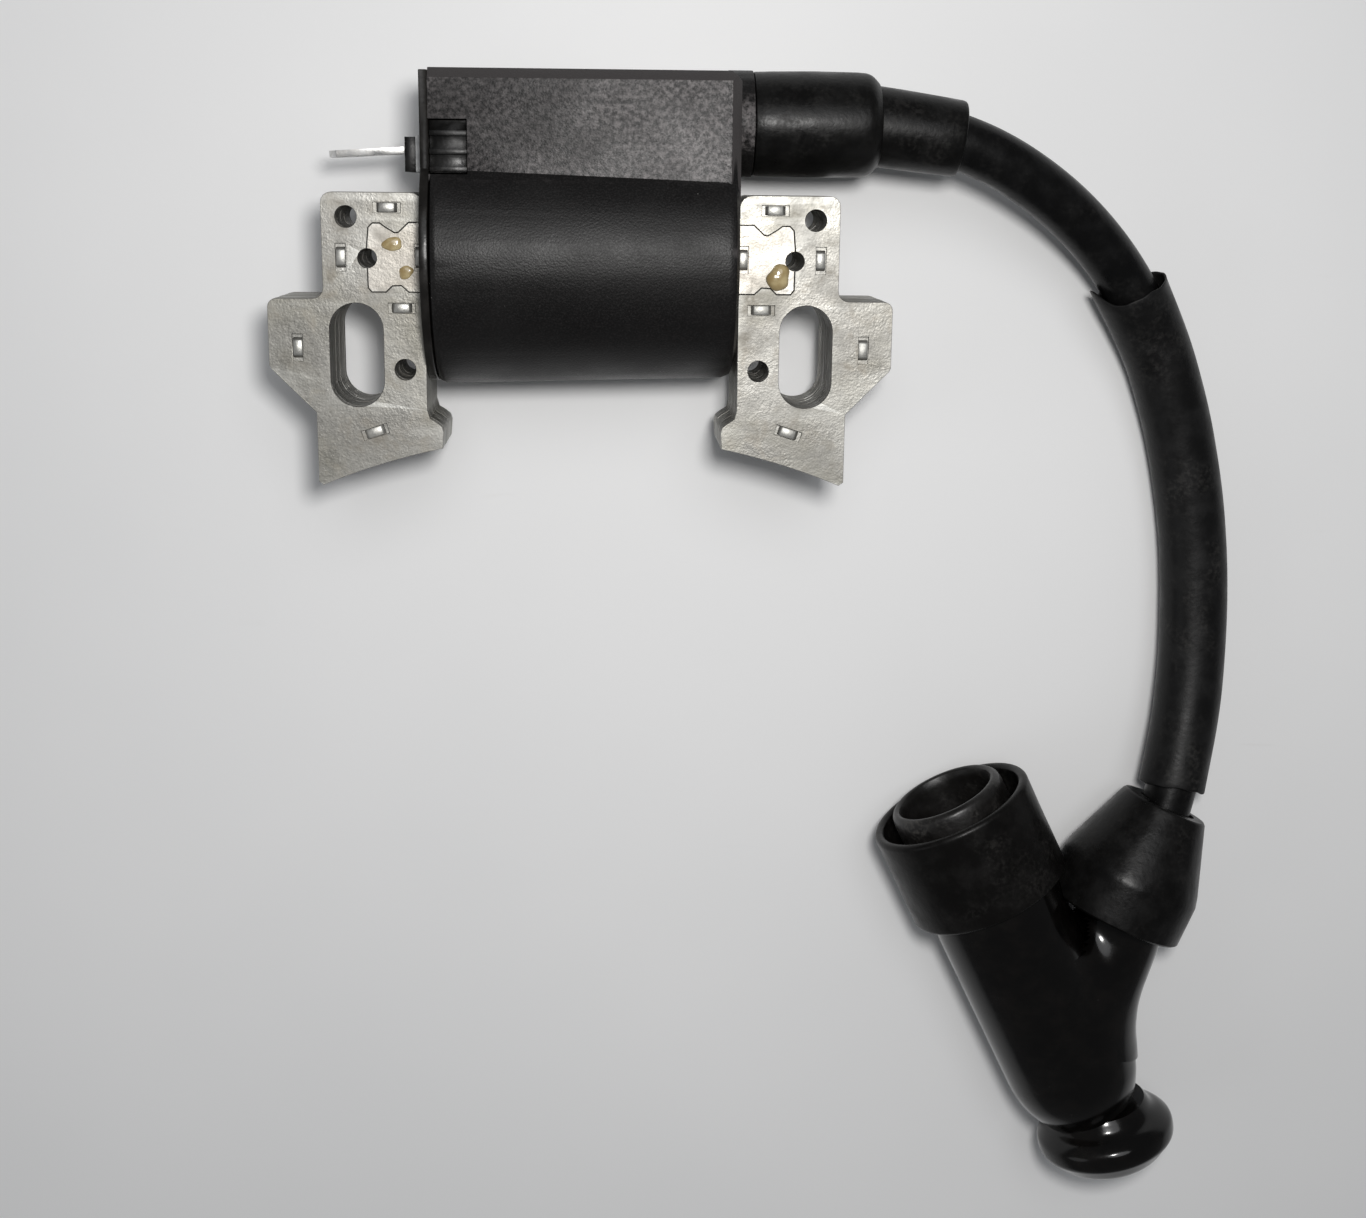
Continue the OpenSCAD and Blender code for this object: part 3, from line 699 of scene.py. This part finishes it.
def lathe(name, prof, M, mat, sides=96, closed=False, smooth=40, bump=None):
    """Turns a profile of (t, r) round the X axis of frame M. Millimetres."""
    prof = fillet(prof)
    verts, faces, rows = [], [], []
    for i, (t, r) in enumerate(prof):
        if r < 1e-6:
            rows.append([len(verts)] * sides)
            verts.append(M @ (Vector((t, 0, 0)) * MM))
            continue
        row = []
        for k in range(sides):
            a = 2 * math.pi * k / sides
            rr = r + (bump(t, a, r) if bump else 0)
            row.append(len(verts))
            verts.append(M @ (Vector((t, rr * math.cos(a), rr * math.sin(a))) * MM))
        rows.append(row)
    pairs = list(zip(rows, rows[1:])) + ([(rows[-1], rows[0])] if closed else [])
    for a, b in pairs:
        for k in range(sides):
            j = (k + 1) % sides
            f = []
            for q in (a[k], b[k], b[j], a[j]):
                if q not in f:
                    f.append(q)
            if len(f) > 2:
                faces.append(tuple(f))
    return mesh_from(name, verts, faces, mat, smooth)


def move(x, y, z):
    return Matrix.Translation(Vector((x, y, z)) * MM)


def turn(axis, deg):
    return Matrix.Rotation(math.radians(deg), 4, axis)


TOWER = move(0, 19.6, 16)
boot_big = lathe("tower_boot", [
    (21.45, 5.25), (21.45, 6.3, 0.3), (21.6, 6.35), (23.4, 6.42), (29, 6.5), (34.5, 6.42),
    (36.2, 6.3, 0.9), (37.35, 5.1, 0.5), (37.4, 4.6), (36.3, 4.15), (32.2, 4.15), (32.1, 5.1),
    (22, 5.1)], TOWER, M_BOOT, closed=True)
NECK = move(36, 19.62, 16) @ turn("Z", -7.5)
boot_small = lathe("tower_boot_neck", [
    (0.2, 4.3), (0.2, 4.95), (4, 4.93), (8, 4.84), (11.55, 4.74), (12.05, 4.6, 0.3), (12.08, 4.0, 0.15),
    (11.7, 3.92), (1, 3.92)], NECK, M_BOOT, closed=True)

CAP = move(70.3, -111.6, 11.6) @ turn("Z", -64) @ turn("X", -4.2)
BRANCH = CAP @ turn("Z", 136)
KNOB = CAP @ move(12.1, 0.5, 0) @ turn("Z", -11.5)
MOUTH = -45.9

collar = lathe("mouth_collar", [
    (MOUTH + 5.4, 10.15), (MOUTH + 2.3, 10.15, 0.3), (MOUTH + 1.95, 10.5, 0.3),
    (MOUTH + 1.92, 11.1, 0.35), (MOUTH + 2.4, 11.48, 0.4), (MOUTH + 8, 11.42), (MOUTH + 15.2, 11.47),
    (MOUTH + 16.1, 11.47, 0.5), (MOUTH + 16.5, 10.9, 0.35), (MOUTH + 16.5, 9.45),
    (MOUTH + 6.4, 9.45)], CAP, M_COLLAR, closed=True)
ring = lathe("mouth_seal", [
    (MOUTH + 14, 6.6), (MOUTH + 1.1, 6.6, 0.6), (MOUTH + 0.15, 6.9, 0.35), (MOUTH + 0.03, 7.4, 0.3),
    (MOUTH + 0.5, 7.95, 0.4), (MOUTH + 1.4, 8.15), (MOUTH + 14, 8.18)], CAP, M_SEAL, closed=True)


def smin(a, b, k):
    h = max(k - abs(a - b), 0) / k
    return min(a, b) - h * h * k * 0.25


def body_profile(t):
    """Radius of the main tube at t, with the rounded shoulder towards the knob."""
    pts = [(-45.9 + 6, 9.1), (-45.9 + 6.4, 9.4), (0.5, 9.4), (2.2, 9.15), (4.2, 8.5), (5.8, 7.7),
           (7.3, 6.85)]
    for (a, ra), (b, rb) in zip(pts, pts[1:]):
        if a <= t <= b:
            return ra + (rb - ra) * (t - a) / (b - a)
    return pts[0][1] if t < pts[0][0] else pts[-1][1]


tube = lathe("cap_tube", [
    (MOUTH + 33.0, 1.5), (MOUTH + 33.0, 7.5), (MOUTH + 14.2, 7.5), (MOUTH + 14.0, 8.25), (MOUTH + 6, 8.25),
    (MOUTH + 6, 9.1, 0.2), (MOUTH + 6.5, 9.4, 0.3), (-20, 9.4), (-5, 9.4), (0.2, 9.4, 2.0),
    (3.0, 8.95, 1.6), (5.2, 8.05, 1.4), (7.28, 6.9, 0.2), (7.3, 2)], CAP, M_CAP, sides=128)


def branch_piece():
    """The side branch, flared into the main tube with a smooth fillet."""
    inv = CAP.inverted()
    sides, verts, faces, rows = 128, [], [], []
    steps = [31.0, 30.9, 30.6, 29.0, 27, 25] + [24 - 0.45 * k for k in range(44)]
    for s in steps:
        row = []
        for k in range(sides):
            a = 2 * math.pi * k / sides
            r0 = 5.85 - (0.25 if s == 31.0 else (0.07 if s == 30.9 else 0))

            def f(r):
                p = inv @ (BRANCH @ (Vector((s, r * math.cos(a), r * math.sin(a))) * MM))
                p = p * 1000
                d_main = math.hypot(p.y, p.z) - body_profile(p.x)
                d_br = r - r0
                return smin(d_main, d_br, 5.0)

            lo, hi = r0 * 0.98, 16.0
            if f(lo) > 0:
                r = lo
            else:
                x = lo
                while x < hi and f(x) < 0:
                    x += 0.12
                if x >= hi:
                    r = None
                else:
                    l2, h2 = x - 0.12, x
                    for _ in range(12):
                        mid = (l2 + h2) / 2
                        if f(mid) < 0:
                            l2 = mid
                        else:
                            h2 = mid
                    r = h2
            if r is None or r > 12.5:
                row.append(None)
            else:
                row.append(len(verts))
                verts.append(BRANCH @ (Vector((s, r * math.cos(a), r * math.sin(a))) * MM))
        rows.append(row)
    for a, b in zip(rows, rows[1:]):
        for k in range(sides):
            j = (k + 1) % sides
            q = (a[k], b[k], b[j], a[j])
            if None not in q:
                big = max((verts[x] - verts[y]).length for x, y in zip(q, q[1:] + q[:1]))
                if big < 2.2 * MM:
                    faces.append(q)
    # the open end, with its bore for the lead
    rim = rows[0]
    inner = []
    for r, s in ((3.9, 31.0), (3.8, 30.9), (3.8, 20.0)):
        row = []
        for k in range(sides):
            a = 2 * math.pi * k / sides
            row.append(len(verts))
            verts.append(BRANCH @ (Vector((s, r * math.cos(a), r * math.sin(a))) * MM))
        inner.append(row)
    chain = [rim] + inner
    for a, b in zip(chain, chain[1:]):
        for k in range(sides):
            j = (k + 1) % sides
            faces.append((a[k], a[j], b[j], b[k]))
    return mesh_from("cap_branch", verts, faces, M_CAP, 60)


branch = branch_piece()


# the flared boot over the branch ends against the main tube and its collar
cable_boot = dress("cap_cable_boot", "cable_boot", M_BOOT, 0.22, 3, 40, 35)

knob = lathe("end_knob", [
    (-4.6, 0), (-4.6, 6.6), (-4.2, 6.85, 0.5), (-2.9, 7.5, 0.9), (-2.0, 8.9, 0.6), (-0.95, 9.82, 0.55),
    (0.3, 9.9, 0.8), (1.35, 9.75, 0.6), (2.3, 8.9, 0.8), (3.9, 7.5, 1.2), (5.3, 4.8, 1.6),
    (6.15, 1.8, 1.2), (6.25, 0)], KNOB, M_CAP, sides=128)

# ---------------------------------------------------------------- ride and replace
for ob, body, nodes, sl in (
        (left, "coil", ["left_leg"], "steel_plate"),
        (right, "coil", ["right_leg"], "steel_plate"),
        (bar, "coil", ["core_bar"], "steel_bar"),
        (varnish_drops, "coil", ["locking_varnish"], "varnish"),
        (boot_big, "coil", ["coil_boot"], "rubber"),
        (boot_small, "coil", ["coil_boot"], "rubber"),
        (lead, "coil", ["ht_lead"], "lead_rubber"),
        (sleeve, "sleeve", ["lead_sleeve"], "sleeve_rubber"),
        (collar, "cap", ["cap_collar"], "rubber"),
        (ring, "cap", ["cap_seal_ring"], "rubber"),
        (tube, "cap", ["cap_body"], "phenolic"),
        (branch, "cap", ["cap_body"], "phenolic"),
        (knob, "cap", ["cap_knob"], "phenolic")):
    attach(ob, body)
    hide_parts(*nodes)

# ---------------------------------------------------------------- carried-over nodes
for node, mat in (("resin_fill", M_RESIN), ("primary_bobbin", M_BOBBIN), ("primary_winding", M_WIRE1),
                  ("secondary_bobbin", M_BOBBIN), ("secondary_winding", M_WIRE2),
                  ("circuit_board", M_BOARD), ("switching_transistor", M_CHIP),
                  ("board_components", M_PARTS), ("kill_strap", M_COPPER), ("ht_spike", M_BRASS),
                  ("lead_core", M_COPPER), ("cord_screw", M_BRASS), ("cap_resistor", M_CERAMIC),
                  ("plug_contact", M_BRASS), ("contact_clip", M_TIN)):
    o = N[node]
    if not o.material_slots:
        o.data.materials.append(mat)
    for s in o.material_slots:
        s.link = "OBJECT"
        s.material = mat


# ---------------------------------------------------------------- floor and light
def paper():
    m = Nodes("paper")
    n = m.noise(9, 4)
    f = m.noise(900, 3)
    col = m.mix(m.ramp(n, 0.3, 0.7), (0.84, 0.845, 0.85), (0.87, 0.873, 0.877))
    scratch = m.math("MULTIPLY", m.ramp(m.noise(26, 2, vec=m.stretch(1, 9, 1, rot=(0, 0, 0.5))),
                                        0.70, 0.73), m.ramp(m.noise(14, 2), 0.52, 0.6))
    col = m.mix(m.math("MULTIPLY", scratch, 0.10), col, (0.60, 0.58, 0.55))
    r = m.ramp(n, 0.3, 0.7, 0.42, 0.5)
    return m.set(color=col, rough=r, normal=m.bump(f, 0.00003, 0.3), spec=0.35)


me = bpy.data.meshes.new("floor")
s = 1.6
me.from_pydata([(-s, -s, -0.00005), (s, -s, -0.00005), (s, s, -0.00005), (-s, s, -0.00005)], [],
               [(0, 1, 2, 3)])
floor = link("floor", me, paper())

world = bpy.data.worlds.new("world")
bpy.context.scene.world = world
world.use_nodes = True
world.node_tree.nodes["Background"].inputs[0].default_value = (0.95, 0.97, 1.0, 1)
world.node_tree.nodes["Background"].inputs[1].default_value = 0.12


def lamp(name, at, to, size, power, color=(1, 1, 1), size_y=None):
    d = bpy.data.lights.new(name, "AREA")
    d.shape = "DISK" if size_y is None else "RECTANGLE"
    d.size = size
    if size_y:
        d.size_y = size_y
    d.energy = power
    d.color = color
    o = bpy.data.objects.new(name, d)
    bpy.context.scene.collection.objects.link(o)
    o.location = at
    o.rotation_euler = (Vector(to) - Vector(at)).to_track_quat("-Z", "Y").to_euler()
    return o


lamp("near_light", (0.022, 0.034, 0.262), (0.02, -0.03, 0.0), 0.035, 0.40, (1.0, 0.985, 0.965))
lamp("overhead", (0.05, 0.25, 0.75), (0.02, -0.03, 0), 0.5, 1.3, (0.97, 0.98, 1.0))
lamp("side_fill", (-0.7, -0.3, 0.45), (0, -0.03, 0), 0.5, 0.4, (0.97, 0.98, 1.0))

bpy.context.scene.view_settings.view_transform = "Standard"
bpy.context.scene.view_settings.look = "None"

bpy.context.view_layer.update()
